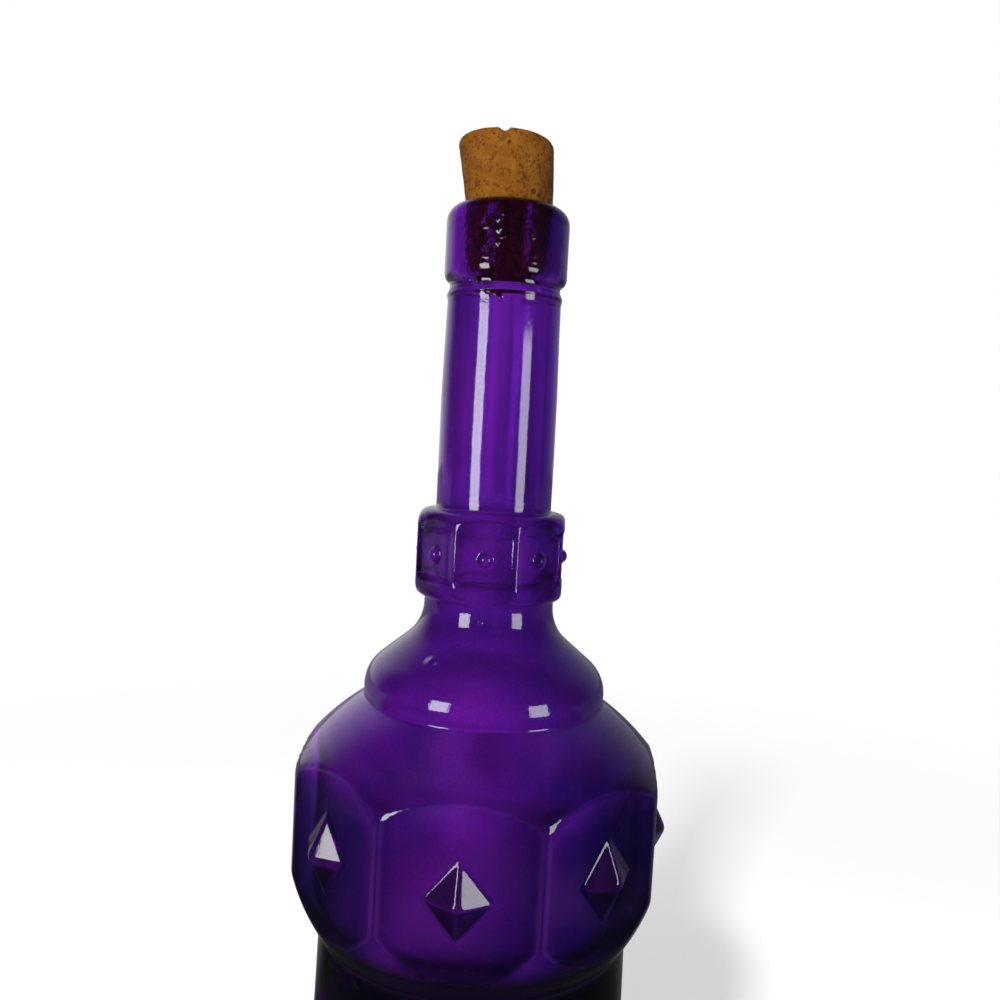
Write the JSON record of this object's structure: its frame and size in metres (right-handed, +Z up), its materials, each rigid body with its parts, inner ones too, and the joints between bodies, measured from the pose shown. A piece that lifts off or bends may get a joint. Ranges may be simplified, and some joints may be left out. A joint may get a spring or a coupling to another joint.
{
  "type": "genie bottle",
  "caption": "Tall hollow glass bottle with an eight-sided bulge carrying raised diamonds, a panelled neck collar and a long neck, closed by a tapered cork stopper.",
  "frame": {"origin": "centre of the foot, on the surface that the bottle stands on", "axes": "+Z up along the axis of the bottle; -Y faces the middle of one flat of the bulge"},
  "size_m": [0.1032, 0.1032, 0.3168],
  "materials": {
    "violet_glass": "glossy transparent violet",
    "cork": "matt pressed cork"
  },
  "bodies": {
    "bottle": {"glass_bottle": "violet_glass"},
    "stopper": {"cork_stopper": "cork"}
  },
  "joints": [
    {"name": "stopper_pull", "type": "slide", "parent": "bottle", "child": "stopper", "axis": [0, 0, 1], "range_m": [0, 0.045]}
  ]
}
